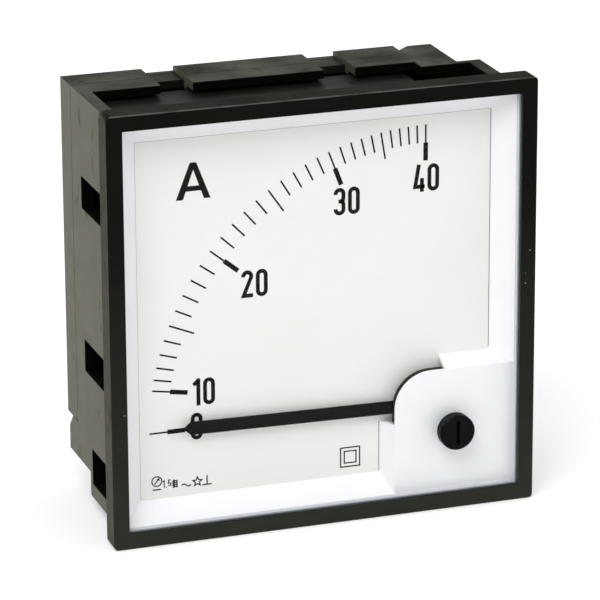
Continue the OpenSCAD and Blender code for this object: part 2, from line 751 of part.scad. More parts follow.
module housing_block() {
    slab(y_flange_back + fit, fit) centred(body_h - fit);
    snap_ridges(y_flange_back + 0.5, -0.5, body_h - fit, 0.35);
    slab(0, front_l) centred(body_h);
    slab(front_l - cut, rear_l) rectangle(-body_h, rear_h, -rear_h, body_h);
}

module housing_hollow() {
    slab(y_flange_back - cut, y_carrier_back) centred(rim_h);
    slab(y_carrier_back - cut, front_l - 2) rectangle(-side_h, side_h, -side_h, top_h);
    slab(y_carrier_back, y_rib) rectangle(-side_h, rear_side_h, -rear_side_h, top_h);
    slab(y_rib - cut, y_ledge - ledge_t) rectangle(-side_h, rear_side_h, -rear_side_h, lap_in);
    slab(y_rib - cut, rear_l + cut) rectangle(-side_h, cover_h - ledge_w, -(cover_h - ledge_w), lap_in);
}

// Room for the rear cover: its skirt outside the lapped walls, its edge on the ledge, its plate across the back
module cover_seat() {
    slab(y_skirt, rear_l + cut) difference() {
        rectangle(-body_h - cut, cover_h, -cover_h, body_h + cut);
        rectangle(-lap_h, cover_h + cut, -cover_h - cut, lap_h);
    }
    slab(y_ledge, rear_l + cut) difference() {
        rectangle(-body_h - cut, cover_h, -cover_h, body_h + cut);
        rectangle(-lap_h, -side_h, -cover_h - cut, lap_h);
        rectangle(-lap_h, cover_h + cut, lap_in, lap_h);
    }
    slab(y_plate, rear_l + cut) rectangle(-body_h - cut, cover_h, -cover_h, body_h + cut);
    slab(y_margin, rear_l + cut) centred(body_h + cut);
    // slope from the margin's back face down to the cover's edge
    slope = [[cover_h - fit, y_ledge], [cover_h + chamfer, y_margin], [cover_h + chamfer, rear_l + cut],
        [cover_h - fit, rear_l + cut]];
    translate([0, 0, -cover_h]) linear_extrude(height = body_h + cover_h + cut) polygon(slope);
    translate([-body_h - cut, 0, 0]) rotate([90, 0, 90]) linear_extrude(height = body_h + cover_h + cut)
        polygon([for (p = slope) [p[1], -p[0]]]);
}

// Openings for the fixing clamps: windows in the sides, slot and notches in the top
module clamp_openings() {
    low = -side_h + 0.25;
    translate([-body_h - cut, 0, 0]) rotate([90, 0, 90]) linear_extrude(height = wall_t + 2 * cut) {
        side_windows(clip_end);
        rectangle(clip_start, corner_end, low, low + corner_w);
    }
    translate([side_h - cut, 0, 0]) rotate([90, 0, 90]) linear_extrude(height = wall_t + 2 * cut)
        side_windows(corner_end);
    translate([0, 0, -body_h - cut]) linear_extrude(height = wall_t + 2 * cut)
        for (middle = top_notches) rectangle(middle - clip_w / 2, middle + clip_w / 2, clip_start, corner_end - 1);
    slab(clip_start, tongue_y) rectangle(-side_h, corner_from, side_h - 3, body_h + cut);
    slab(clip_start, corner_end) rectangle(corner_from - cut, side_h, side_h - 3, body_h + cut);
    for (middle = top_notches) slab(tongue_y - cut, y_skirt)
        rectangle(middle - clip_w / 2, middle + clip_w / 2, side_h - 3, body_h + cut);
}

module housing() {
    color([0.28, 0.28, 0.25]) difference() {
        union() {
            difference() {
                housing_block();
                housing_hollow();
            }
            // screw bosses in the corners, under the cover
            difference() {
                for (i = [0:3]) slab(y_rib, i == 0 ? y_plate : y_ledge) at(boss_at[i]) circle(3.3);
                slab(y_rib - cut, rear_l) difference() {
                    centred(2 * body_h);
                    rectangle(-lap_h, rear_h - 1, -rear_h + 1, lap_h);
                }
            }
        }
        cover_seat();
        clamp_openings();
        for (point = boss_at) slab(y_rib + cut, rear_l) at(point) circle(cover_screw_r + bush);
    }
}

module rear_cover() {
    edge = cover_h - cover_seam;
    color([0.32, 0.32, 0.29]) difference() {
        union() {
            slab(y_plate, rear_l) rectangle(-body_h, edge, -edge, body_h);
            slab(y_skirt + cover_seam, rear_l) difference() {
                rectangle(-body_h, edge, -edge, body_h);
                rectangle(-body_h + skirt_t, edge + cut, -edge - cut, body_h - skirt_t);
            }
            slab(y_ledge, rear_l) difference() {
                rectangle(-side_h + room, edge, -edge, lap_in - room);
                rectangle(-side_h, edge - ledge_w + 2 * cover_seam, -(edge - ledge_w + 2 * cover_seam), lap_in);
            }
        }
        for (middle = top_notches) slab(y_skirt - cut, rear_l + cut)
            rectangle(middle - clip_w / 2, middle + clip_w / 2, body_h - skirt_t, body_h + cut);
        for (point = studs) slab(y_plate - cut, rear_l + cut) at(point) circle(stud_d / 2 + fit);
        for (point = boss_at) {
            slab(y_ledge - cut, rear_l + cut) at(point) circle(cover_screw_r + 2 * fit);
            slab(rear_l - sunk, rear_l + cut) at(point) circle(1.85 * cover_screw_r + room);
        }
    }
}

module cover_screws() {
    color([0.7, 0.7, 0.7]) for (point = boss_at) rear_screw(point, rear_l - sunk, 1.85 * cover_screw_r,
        1.1 * cover_screw_r, cover_screw_r, 4.8 * cover_screw_r);
}

module terminal_studs() {
    tip = rear_l + stud_l;
    nut_back = rear_l + 2 * washer_t + nut_t;
    lead_in = 0.12 * stud_d;
    color([0.8, 0.68, 0.4]) for (point = studs) {
        slab(y_plate - stud_head_t, y_plate) at(point) circle(0.92 * stud_d, $fn = 6);
        turned(point, [[0, y_plate - fit], [thread_r, y_plate - fit], [thread_r, nut_back],
            [stud_d / 2, nut_back], [stud_d / 2, tip - lead_in], [stud_d / 2 - lead_in, tip], [0, tip]]);
    }
}

module terminal_washers() {
    color([0.82, 0.72, 0.45]) for (point = studs) slab(rear_l, rear_l + washer_t) at(point) difference() {
        circle(stud_d);
        circle(stud_d / 2 + fit);
    }
}

module lock_washers() {
    color([0.7, 0.7, 0.7]) for (point = studs) slab(rear_l + washer_t, rear_l + 2 * washer_t) at(point)
        difference() {
            circle(stud_d * 0.87);
            circle(thread_r + fit);
            rotate(70) rectangle(0, stud_d, -room, room);
        }
}

module terminal_nuts() {
    nut_y = rear_l + 2 * washer_t;
    color([0.82, 0.72, 0.45]) for (point = studs) difference() {
        slab(nut_y, nut_y + nut_t) at(point) circle(stud_d * 0.92, $fn = 6);
        slab(nut_y - cut, nut_y + nut_t + cut) at(point) circle(thread_r + run);
    }
}

bezel();
window_glass();
front_mask();
dial_plate();
dial_carrier();
front_bridge();
bridge_screws();
front_bearing_screw();
zero_adjuster();
zero_lever();
hairspring();
pointer();
spindle();
balance_cross();
balance_weights();
moving_vane();
fixed_vane();
coil_bobbin();
coil_winding();
magnetic_shield();
movement_frame();
frame_screws();
rear_bearing_screw();
rear_bearing_nut();
coil_leads();
housing();
rear_cover();
cover_screws();
terminal_studs();
terminal_washers();
lock_washers();
terminal_nuts();
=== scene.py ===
"""Looks of the square panel meter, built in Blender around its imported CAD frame.

Lengths are in millimetres, except where a comment says metres.
"""

import math

import bmesh
import bpy
from mathutils import Matrix, Vector


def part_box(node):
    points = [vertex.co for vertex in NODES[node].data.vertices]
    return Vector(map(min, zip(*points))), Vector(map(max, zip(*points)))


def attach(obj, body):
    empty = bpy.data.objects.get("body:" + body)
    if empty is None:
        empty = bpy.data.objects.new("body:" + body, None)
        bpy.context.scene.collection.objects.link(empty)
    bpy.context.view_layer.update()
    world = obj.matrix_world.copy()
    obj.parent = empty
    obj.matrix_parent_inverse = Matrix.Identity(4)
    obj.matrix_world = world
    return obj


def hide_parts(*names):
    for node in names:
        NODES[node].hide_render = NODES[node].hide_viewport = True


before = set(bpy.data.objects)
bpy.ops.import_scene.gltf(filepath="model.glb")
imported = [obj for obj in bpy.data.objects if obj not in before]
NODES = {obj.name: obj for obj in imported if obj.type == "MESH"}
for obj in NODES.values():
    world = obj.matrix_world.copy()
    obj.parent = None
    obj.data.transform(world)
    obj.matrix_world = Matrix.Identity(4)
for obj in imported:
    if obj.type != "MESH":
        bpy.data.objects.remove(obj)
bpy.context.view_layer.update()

MM = 0.001
CASE = "case"


def span(node):
    """Lowest and highest corners of a CAD node."""
    low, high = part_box(node)
    return [v / MM for v in low], [v / MM for v in high]


# ---------------------------------------------------------------- camera

# The photo's camera, fitted to the object. Angles are in degrees.
VIEW_AZIMUTH = -18.86
VIEW_ELEVATION = 18.29
VIEW_ROLL = -0.27
VIEW_DISTANCE = 833.6
VIEW_ASIDE = -5.66
VIEW_UP = 3.02
LENS = 234.83
SENSOR_WIDTH = 36
# In metres
FAR_CLIP = 20


def make_camera(face_y):
    """Looks at the front face, from the left and above."""
    azimuth = math.radians(VIEW_AZIMUTH)
    elevation = math.radians(VIEW_ELEVATION)
    roll = math.radians(VIEW_ROLL)
    back = Vector((math.sin(azimuth) * math.cos(elevation), -math.cos(azimuth) * math.cos(elevation),
                   math.sin(elevation)))
    level = Vector((0, 0, 1)).cross(back).normalized()
    upright = back.cross(level)
    right = math.cos(roll) * level + math.sin(roll) * upright
    up = math.cos(roll) * upright - math.sin(roll) * level
    place = Vector((0, face_y, 0)) + back * VIEW_DISTANCE + right * VIEW_ASIDE + up * VIEW_UP
    data = bpy.data.cameras.new("camera")
    data.lens = LENS
    data.sensor_width = SENSOR_WIDTH
    data.clip_end = FAR_CLIP
    camera = bpy.data.objects.new("camera", data)
    camera.matrix_world = Matrix.Translation(place * MM) @ Matrix((right, up, back)).transposed().to_4x4()
    bpy.context.collection.objects.link(camera)
    bpy.context.scene.camera = camera


# ---------------------------------------------------------------- shader nodes

class Shader:
    """A material under construction: short calls that add and join its nodes."""

    def __init__(self, name):
        self.material = bpy.data.materials.new(name)
        self.material.use_nodes = True
        self.tree = self.material.node_tree
        self.tree.nodes.clear()
        self.output = self.tree.nodes.new("ShaderNodeOutputMaterial")
        self.place = self.tree.nodes.new("ShaderNodeTexCoord").outputs["Object"]

    def join(self, value, socket):
        """Links value to the socket if it comes from a node, and otherwise sets it there."""
        if isinstance(value, bpy.types.NodeSocket):
            self.tree.links.new(value, socket)
        else:
            socket.default_value = value

    def node(self, kind, settings=None, **inputs):
        """A new node of that kind. Names in inputs are its sockets, such as From_Min."""
        made = self.tree.nodes.new("ShaderNode" + kind)
        for key, value in (settings or {}).items():
            setattr(made, key, value)
        for key, value in inputs.items():
            self.join(value, made.inputs[key.replace("_", " ")])
        return made

    def stretched(self, scale):
        """Object coordinates in millimetres, times scale."""
        made = self.node("Mapping", Vector=self.place)
        made.inputs["Scale"].default_value = [s / MM for s in scale]
        return made.outputs["Vector"]

    def axes(self):
        """The X, Y and Z of the place on the object, in millimetres."""
        return self.node("SeparateXYZ", Vector=self.stretched((1, 1, 1))).outputs

    def facing(self):
        """The X, Y and Z of the direction that the surface faces, in the object's own axes."""
        normal = self.tree.nodes.new("ShaderNodeTexCoord").outputs["Normal"]
        return self.node("SeparateXYZ", Vector=normal).outputs

    def noise(self, size, detail=3.0, stretch=(1, 1, 1)):
        """Noise whose features are about size millimetres across."""
        scale = [s / size for s in stretch]
        return self.node("TexNoise", Vector=self.stretched(scale), Scale=1.0, Detail=detail).outputs["Fac"]

    def spots(self, pitch, radius):
        """1 in small round spots about pitch millimetres apart, and 0 elsewhere."""
        cells = self.node("TexVoronoi", Vector=self.stretched((1 / pitch,) * 3), Scale=1.0, Randomness=1.0)
        share = radius / pitch
        faded = 1.6 * share
        return self.ramp(cells.outputs["Distance"], share, 1.0, faded, 0.0)

    def ramp(self, value, low, at_low, high, at_high):
        """A straight run from at_low, where value is low, to at_high, where it is high, and level beyond."""
        made = self.node("MapRange", Value=value, From_Min=low, From_Max=high, To_Min=at_low, To_Max=at_high)
        return made.outputs["Result"]

    def maths(self, operation, a, b=0.0):
        made = self.node("Math", {"operation": operation})
        self.join(a, made.inputs[0])
        self.join(b, made.inputs[1])
        return made.outputs[0]

    def mix(self, factor, a, b):
        """Colour a where factor is 0, and b where it is 1."""
        made = self.node("Mix", {"data_type": "RGBA"})
        for value, index in ((factor, 0), (a, 6), (b, 7)):
            if isinstance(value, tuple) and len(value) == 3:
                value = (*value, 1.0)
            self.join(value, made.inputs[index])
        return made.outputs[2]

    def blend(self, factor, a, b):
        """Shader a where factor is 0, and b where it is 1."""
        made = self.node("MixShader", Fac=factor)
        self.join(a, made.inputs[1])
        self.join(b, made.inputs[2])
        return made.outputs[0]

    def bump(self, height, depth, normal=None):
        """The normal over a relief that many millimetres deep, laid over another normal if one is given."""
        made = self.node("Bump", Height=height, Strength=1.0, Distance=depth * MM)
        if normal is not None:
            self.join(normal, made.inputs["Normal"])
        return made.outputs["Normal"]

    def surface(self, color, roughness, normal=None, **constants):
        """The principled shader. Names in constants are its sockets, such as Metallic or Coat_Weight."""
        shader = self.node("BsdfPrincipled", Roughness=roughness)
        self.join((*color, 1.0) if isinstance(color, tuple) else color, shader.inputs["Base Color"])
        if normal is not None:
            self.join(normal, shader.inputs["Normal"])
        for key, value in constants.items():
            shader.inputs[key.replace("_", " ")].default_value = value
        return shader.outputs["BSDF"]

    def done(self, shader):
        self.tree.links.new(shader, self.output.inputs["Surface"])
        return self.material


# ---------------------------------------------------------------- materials

# Colours on the black mouldings: specks of dust, a painted floor reflection, painted edge highlights, a
# painted shade black, and the bloom's tint
DUST_SPECK = (0.42, 0.41, 0.37)
FLOOR_REFLECTION = (0.029, 0.0295, 0.0235)
EDGE_HIGHLIGHT = (0.12, 0.12, 0.105)
PAINTED_SHADE_BLACK = (0.0012, 0.0012, 0.0011)
BLOOM_TINT = (0.8, 0.82, 0.48, 1.0)


def moulded_plastic(name, dark, light, roughness, specular, grain=0.35, grain_depth=0.012, specks=0.0,
                    smears=1.0, bloom=0.0, painted_shade=None, painted_light_heights=None):
    """Spark-eroded black plastic: two close tones, handling marks, a fine grain and a few specks of dust.

    bloom is the strength of the grey haze on old plastic. painted_shade makes the mask of a painted shade, a
    deeper, duller black that lies over it. painted_light_heights gives the heights between which a painted
    reflection of the floor, lighter at the bottom, fades out upwards, and adds painted highlights on the
    forward and upward bevels.
    """
    s = Shader(name)
    cloud = s.noise(14.0, 4.0)
    color = s.mix(s.ramp(cloud, 0.35, 0.0, 0.7, 1.0), dark, light)
    smear = s.noise(5.0, 3.0, stretch=(0.4, 1, 1.6))
    # painted reflection of the floor: a lighter olive film that fades out upwards from the foot, and painted
    # edge highlights
    if painted_light_heights:
        foot, top = painted_light_heights
        height = s.ramp(s.axes()["Z"], foot, 1.0, top, 0.0)
        reflection = s.maths("MULTIPLY", height, s.ramp(cloud, 0.3, 0.8, 0.7, 1.0))
        color = s.mix(reflection, color, FLOOR_REFLECTION)
        # painted highlight: a lighter grey on the bevels that face forward and up, where the lamp would glint
        color = s.mix(painted_edge_highlights(s), color, EDGE_HIGHLIGHT)
    if specks:
        dust = s.maths("MULTIPLY", s.spots(3.6, 0.11), s.ramp(s.noise(3.0), 0.52, 0.0, 0.57, specks))
        color = s.mix(dust, color, DUST_SPECK)
    gloss = s.maths("ADD", s.ramp(smear, 0.3, -0.05 * smears, 0.7, 0.07 * smears), roughness)
    scuff = s.ramp(s.noise(4.5, 5.0, stretch=(1, 1.4, 0.6)), 0.63, 0.0, 0.72, 0.3)
    gloss = s.maths("ADD", gloss, scuff)
    normal = s.bump(s.noise(grain, 2.0), grain_depth, s.bump(s.noise(9.0, 2.0), 0.05 * smears))
    shader = s.surface(color, gloss, normal, Specular_IOR_Level=specular, Sheen_Weight=bloom,
                       Sheen_Roughness=0.35, Sheen_Tint=BLOOM_TINT)
    if painted_shade is None:
        return s.done(shader)
    # painted shade: a deeper, duller copy of the black, mixed in wherever the mask of painted shade is 1
    shaded_copy = s.surface(PAINTED_SHADE_BLACK, 0.85, s.bump(s.noise(grain, 2.0), grain_depth), Specular_IOR_Level=0.04)
    return s.done(s.blend(painted_shade(s), shader, shaded_copy))


def painted_edge_highlights(s):
    """The mask of the painted edge highlight: up to 1, in patches, on bevels that face forward and up, and 0
    elsewhere.
    """
    facing = s.facing()
    upward = s.ramp(facing["Z"], 0.35, 0.0, 0.55, 1.0)
    forward = s.ramp(facing["Y"], -0.55, 1.0, -0.35, 0.0)
    patches = s.ramp(s.noise(7.0, 3.0), 0.35, 0.35, 0.65, 1.0)
    return s.maths("MULTIPLY", s.maths("MULTIPLY", upward, forward), patches)


def shaded_upper_faces(s, least, most):
    """Painted shade on faces that look up: between least and most, in patches, and 0 elsewhere."""
    up = s.ramp(s.facing()["Z"], 0.6, 0.0, 0.95, 1.0)
    return s.maths("MULTIPLY", up, s.ramp(s.noise(12.0, 3.0), 0.35, least, 0.65, most))


def bezel_painted_shade(s):
    """Painted shade on the frame's upper faces."""
    return shaded_upper_faces(s, 0.55, 0.8)


def case_painted_shade(s):
    """Painted shade on the walls of the housing's windows, slots and notches, and on its upper faces."""
    # the rear cover ends flush with the skin, where the housing's own box takes in its snap ridges
    half = span("rear_cover")[1][2]
    skin = 0.15
    # the depths at which the wide front block and the clamp slots end, and how far the right and lower sides
    # reach out behind the block
    block_end = 21.75
    slots_end = 24.65
    rear_side = 39.8
    axes = s.axes()
    far = s.ramp(axes["Y"], block_end, half - skin, block_end + 0.05, rear_side - skin)
    depths = [s.maths("ADD", axes["X"], half - skin), s.maths("SUBTRACT", half - skin, axes["Z"]),
              s.maths("SUBTRACT", far, axes["X"]), s.maths("ADD", far, axes["Z"]),
              s.maths("SUBTRACT", slots_end, axes["Y"])]
    least = depths[0]
    for depth in depths[1:]:
        least = s.maths("MINIMUM", least, depth)
    return s.maths("MAXIMUM", s.ramp(least, 0.0, 0.0, 0.1, 1.0), shaded_upper_faces(s, 0.35, 0.75))


def white_plastic(name, tone, roughness=0.42):
    """Satin white moulding with faint flow marks."""
    s = Shader(name)
    flow = s.noise(11.0, 3.0, stretch=(1, 0.5, 1.4))
    color = s.mix(s.ramp(flow, 0.3, 0.0, 0.75, 1.0), tone, tuple(0.965 * c for c in tone))
    gloss = s.ramp(s.noise(3.0, 3.0), 0.3, roughness - 0.05, 0.7, roughness + 0.06)
    return s.done(s.surface(color, gloss, s.bump(s.noise(0.5, 2.0), 0.004)))


def dial_paint():
    """Matt warm white enamel on sheet metal, with the faintest orange peel."""
    s = Shader("dial_paint")
    color = s.mix(s.ramp(s.noise(20.0, 3.0), 0.3, 0.0, 0.75, 1.0), (0.875, 0.866, 0.84), (0.85, 0.84, 0.812))
    color = s.mix(s.maths("MULTIPLY", s.spots(7.0, 0.09), 0.35), color, (0.45, 0.44, 0.42))
    gloss = s.ramp(s.noise(2.0), 0.3, 0.5, 0.7, 0.62)
    return s.done(s.surface(color, gloss, s.bump(s.noise(0.4, 2.0), 0.003)))


def ink():
    """Screen-printed black ink, a little uneven."""
    s = Shader("black_ink")
    color = s.mix(s.noise(0.6, 3.0), (0.003, 0.003, 0.003), (0.008, 0.008, 0.0075))
    gloss = s.ramp(s.noise(0.8), 0.3, 0.5, 0.7, 0.65)
    return s.done(s.surface(color, gloss, s.bump(s.noise(0.15), 0.004), Specular_IOR_Level=0.04))


def shade():
    """Painted shadow: a dull grey laid on the dial where the narrow gap around it is in shade."""
    s = Shader("gap_shade")
    color = s.mix(s.noise(3.0, 3.0), (0.2, 0.2, 0.2), (0.34, 0.34, 0.33))
    return s.done(s.surface(color, 0.8, s.bump(s.noise(0.3), 0.003), Specular_IOR_Level=0.1))


def matt_black():
    """Dead black paint of the pointer."""
    s = Shader("matt_black")
    color = s.mix(s.noise(1.5, 3.0), (0.002, 0.002, 0.002), (0.0045, 0.0045, 0.004))
    gloss = s.ramp(s.noise(2.5), 0.3, 0.55, 0.7, 0.7)
    return s.done(s.surface(color, gloss, s.bump(s.noise(0.2, 2.0), 0.006), Specular_IOR_Level=0.04))


def metal(name, color, roughness, grain=(1, 1, 1), tarnish=0.12):
    """Turned, drawn or brushed metal: grain stretches the scratches, and tarnish darkens patches."""
    s = Shader(name)
    patch = s.ramp(s.noise(3.0, 4.0), 0.35, 0.0, 0.75, 1.0)
    tone = s.mix(patch, color, tuple(c * (1 - tarnish) for c in color))
    lines = s.noise(0.4, 3.0, stretch=grain)
    gloss = s.ramp(lines, 0.3, roughness - 0.07, 0.7, roughness + 0.1)
    return s.done(s.surface(tone, gloss, s.bump(lines, 0.004), Metallic=1.0))


def wire():
    """Enamelled copper wire, wound in close turns about the depth axis."""
    s = Shader("enamelled_wire")
    wire_pitch = 0.35
    turn = s.maths("SINE", s.maths("MULTIPLY", s.axes()["Y"], 2 * math.pi / wire_pitch))
    # painted shade: the copper is darker in the grooves between turns, in step with the bump
    tone = s.mix(s.ramp(turn, -1, 0.0, 1, 1.0), (0.16, 0.045, 0.015), (0.5, 0.17, 0.05))
    gloss = s.ramp(s.noise(1.0), 0.3, 0.2, 0.7, 0.35)
    return s.done(s.surface(tone, gloss, s.bump(turn, 0.05), Metallic=0.6, Coat_Weight=0.6))


def soft_sleeve():
    """Woven insulating sleeve of the coil's leads."""
    s = Shader("lead_sleeve")
    weave = s.node("TexMagic", {"turbulence_depth": 1}, Vector=s.stretched((6, 6, 6)), Scale=1.0,
                   Distortion=0.4).outputs["Fac"]
    tone = s.mix(weave, (0.32, 0.03, 0.02), (0.5, 0.07, 0.05))
    return s.done(s.surface(tone, 0.7, s.bump(weave, 0.03)))


def clear_glass():
    """Window glass: clear through its faces, with a painted reflection, steel blue to navy, on its cut edges.
    """
    s = Shader("window_clear")
    facing = s.facing()
    smear = s.ramp(s.noise(16.0, 3.0), 0.45, 0.02, 0.75, 0.1)
    clear = s.node("BsdfTransparent", Color=(0.997, 0.999, 0.998, 1)).outputs[0]
    shine = s.node("BsdfGlossy", Color=(1, 1, 1, 1), Roughness=smear).outputs[0]
    grazing = s.maths("POWER", s.node("LayerWeight", Blend=0.5).outputs["Facing"], 5.0)
    face = s.blend(s.ramp(grazing, 0.0, 0.004, 1.0, 0.5), clear, shine)
    # the cut edge is painted with what it reflects: pale steel blue behind, where it sees the white mask, and
    # dark
    #     navy along the front, where it sees the frame's lip; the painted navy reaches further back along the
    #     lower edge
    low, high = span("window_glass")
    inward = s.ramp(s.axes()["Y"], low[1], 0.0, high[1], 1.0)
    under = s.ramp(facing["Z"], -0.9, 0.12, -0.5, 0.02)
    steel_blue = s.mix(s.noise(2.0), (0.21, 0.26, 0.31), (0.29, 0.34, 0.39))
    behind = s.ramp(s.maths("SUBTRACT", inward, under), 0.64, 0.0, 0.7, 1.0)
    tone = s.mix(behind, (0.004, 0.01, 0.014), steel_blue)
    edge = s.surface(tone, 0.35, Specular_IOR_Level=0.2)
    return s.done(s.blend(s.ramp(s.maths("ABSOLUTE", facing["Y"]), 0.2, 1.0, 0.6, 0.0), face, edge))


# The heights between which the painted reflection of the floor on the frame fades out upwards
PAINTED_LIGHT_HEIGHTS = (span("bezel")[0][2], 25.0)

MATERIALS = {
    "bezel": moulded_plastic("bezel_black", (0.0028, 0.0028, 0.0024), (0.0045, 0.0045, 0.0036), 0.5,
                             specks=0.7, specular=0.035, bloom=0.17, painted_shade=bezel_painted_shade, painted_light_heights=PAINTED_LIGHT_HEIGHTS),
    "case": moulded_plastic("case_black", (0.005, 0.005, 0.0042), (0.009, 0.009, 0.0068), 0.42,
                            grain=0.5, specks=0.5, specular=0.12, smears=0.35, bloom=0.34, painted_shade=case_painted_shade),
    "inner": moulded_plastic("inner_black", (0.003, 0.003, 0.0026), (0.0045, 0.0045, 0.0038), 0.5,
                             specular=0.12),
    "screw": moulded_plastic("adjuster_black", (0.0025, 0.0025, 0.0025), (0.004, 0.004, 0.004), 0.4,
                             grain_depth=0.006, specular=0.06),
    "mask": white_plastic("mask_white", (0.93, 0.925, 0.935)),
    "bobbin": white_plastic("bobbin_natural", (0.62, 0.56, 0.42), 0.5),
    "dial": dial_paint(),
    "ink": ink(),
    "pointer": matt_black(),
    "shade": shade(),
    "brass": metal("turned_brass", (0.72, 0.5, 0.2), 0.28, (1, 6, 1)),
    "bronze": metal("spring_bronze", (0.66, 0.4, 0.16), 0.25),
    "steel": metal("bright_steel", (0.5, 0.5, 0.49), 0.32, (1, 5, 1), tarnish=0.2),
    "iron": metal("soft_iron", (0.3, 0.29, 0.28), 0.45, tarnish=0.3),
    "frame": metal("frame_aluminium", (0.66, 0.66, 0.67), 0.38, (0.2, 1, 1)),
    "plated": metal("plated_brass", (0.56, 0.43, 0.2), 0.3, (1, 4, 1), tarnish=0.3),
    "wire": wire(),
    "sleeve": soft_sleeve(),
    "glass": clear_glass(),
}

# Which CAD nodes have which material
FINISHES = {
    "bezel": ["bezel"],
    "case": ["housing", "rear_cover"],
    "inner": ["dial_carrier", "front_bridge"],
    "screw": ["zero_adjuster"],
    "mask": ["front_mask"],
    "bobbin": ["coil_bobbin"],
    "dial": ["dial_plate"],
    "pointer": ["pointer"],
    "brass": ["front_bearing_screw", "zero_lever", "balance_cross", "balance_weights", "rear_bearing_screw",
              "rear_bearing_nut"],
    "bronze": ["hairspring"],
    "steel": ["bridge_screws", "spindle", "frame_screws", "cover_screws", "lock_washers"],
    "iron": ["moving_vane", "fixed_vane", "magnetic_shield"],
    "frame": ["movement_frame"],
    "plated": ["terminal_studs", "terminal_washers", "terminal_nuts"],
    "wire": ["coil_winding"],
    "sleeve": ["coil_leads"],
    "glass": ["window_glass"],
}


def finish_nodes():
    """Gives every CAD node its material."""
    for key, names in FINISHES.items():
        for name in names:
            NODES[name].data.materials.clear()
            NODES[name].data.materials.append(MATERIALS[key])


# Radius of the small round on the sharp edges of mouldings and fasteners
ROUNDS = {
    "bezel": 0.12,
    "housing": 0.15,
    "rear_cover": 0.15,
    "front_mask": 0.06,
    "terminal_nuts": 0.3,
    "terminal_washers": 0.12,
    "lock_washers": 0.12,
}


def round_edges(name, radius):
    """Joins a node's loose triangles into whole faces, and rounds the sharp edges between them."""
    weld = NODES[name].modifiers.new("weld", "WELD")
    weld.merge_threshold = 0.002 * MM
    flatten = NODES[name].modifiers.new("flatten", "DECIMATE")
    flatten.decimate_type = "DISSOLVE"
    flatten.angle_limit = math.radians(1)
    bevel = NODES[name].modifiers.new("round", "BEVEL")
    bevel.width = radius * MM
    bevel.segments = 2
    bevel.limit_method = "ANGLE"
    bevel.angle_limit = math.radians(40)
    bevel.use_clamp_overlap = True
    bevel.harden_normals = False


# ---------------------------------------------------------------- flat printed shapes

# Least cosine of half the turn at a mitred corner: it keeps the points of sharp corners short
MITRE_LIMIT = 0.35


def add_piece(name, mesh, material, body):
    """Turns a finished bmesh into a piece of the visual model that rides on that body."""
    bmesh.ops.recalc_face_normals(mesh, faces=mesh.faces)
    data = bpy.data.meshes.new(name)
    mesh.to_mesh(data)
    mesh.free()
    data.materials.append(material)
    made = bpy.data.objects.new(name, data)
    bpy.context.collection.objects.link(made)
    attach(made, body)
    return made


class Print:
    """Thin flat shapes in X and Z, half sunk into a plane at one depth."""

    def __init__(self, y, thickness=0.04):
        self.mesh = bmesh.new()
        self.front = y - thickness / 2
        self.back = y + thickness / 2

    def plate(self, left, right, closed=False):
        """Fills the strip between two rows of points, each [x, z]."""
        rows = [[self.mesh.verts.new((p[0] * MM, y * MM, p[1] * MM)) for p in side]
                for y in (self.front, self.back) for side in (left, right)]
        front_left, front_right, back_left, back_right = rows
        count = len(left)
        for i in range(count if closed else count - 1):
            j = (i + 1) % count
            for quad in ((front_left[i], front_left[j], front_right[j], front_right[i]),
                         (back_right[i], back_right[j], back_left[j], back_left[i]),
                         (back_left[i], back_left[j], front_left[j], front_left[i]),
                         (front_right[i], front_right[j], back_right[j], back_right[i])):
                self.mesh.faces.new(quad)
        if not closed:
            for i, turn in ((0, 1), (count - 1, -1)):
                self.mesh.faces.new((front_left[i], front_right[i], back_right[i], back_left[i])[::turn])

    def stroke(self, points, width, closed=False):
        """A pen stroke of that width along points, with mitred corners and square ends."""
        count = len(points)
        left, right = [], []
        for i, point in enumerate(points):
            here = Vector(point)
            ways = []
            if i or closed:
                ways.append((here - Vector(points[i - 1])).normalized())
            if i < count - 1 or closed:
                ways.append((Vector(points[(i + 1) % count]) - here).normalized())
            way = sum(ways, Vector((0, 0))).normalized()
            side = Vector((-way.y, way.x))
            reach = width / 2 / max(MITRE_LIMIT, side.dot(Vector((-ways[0].y, ways[0].x))))
            left.append(here + side * reach)
            right.append(here - side * reach)
        self.plate(left, right, closed)

    def finish(self, name, material, body=CASE):
        add_piece(name, self.mesh, material, body)


def arc(x, z, radius, start, end, steps=12):
    """Points on an arc from one angle to another, in degrees."""
    angles = [math.radians(start + (end - start) * i / steps) for i in range(steps + 1)]
    return [(x + radius * math.cos(a), z + radius * math.sin(a)) for a in angles]


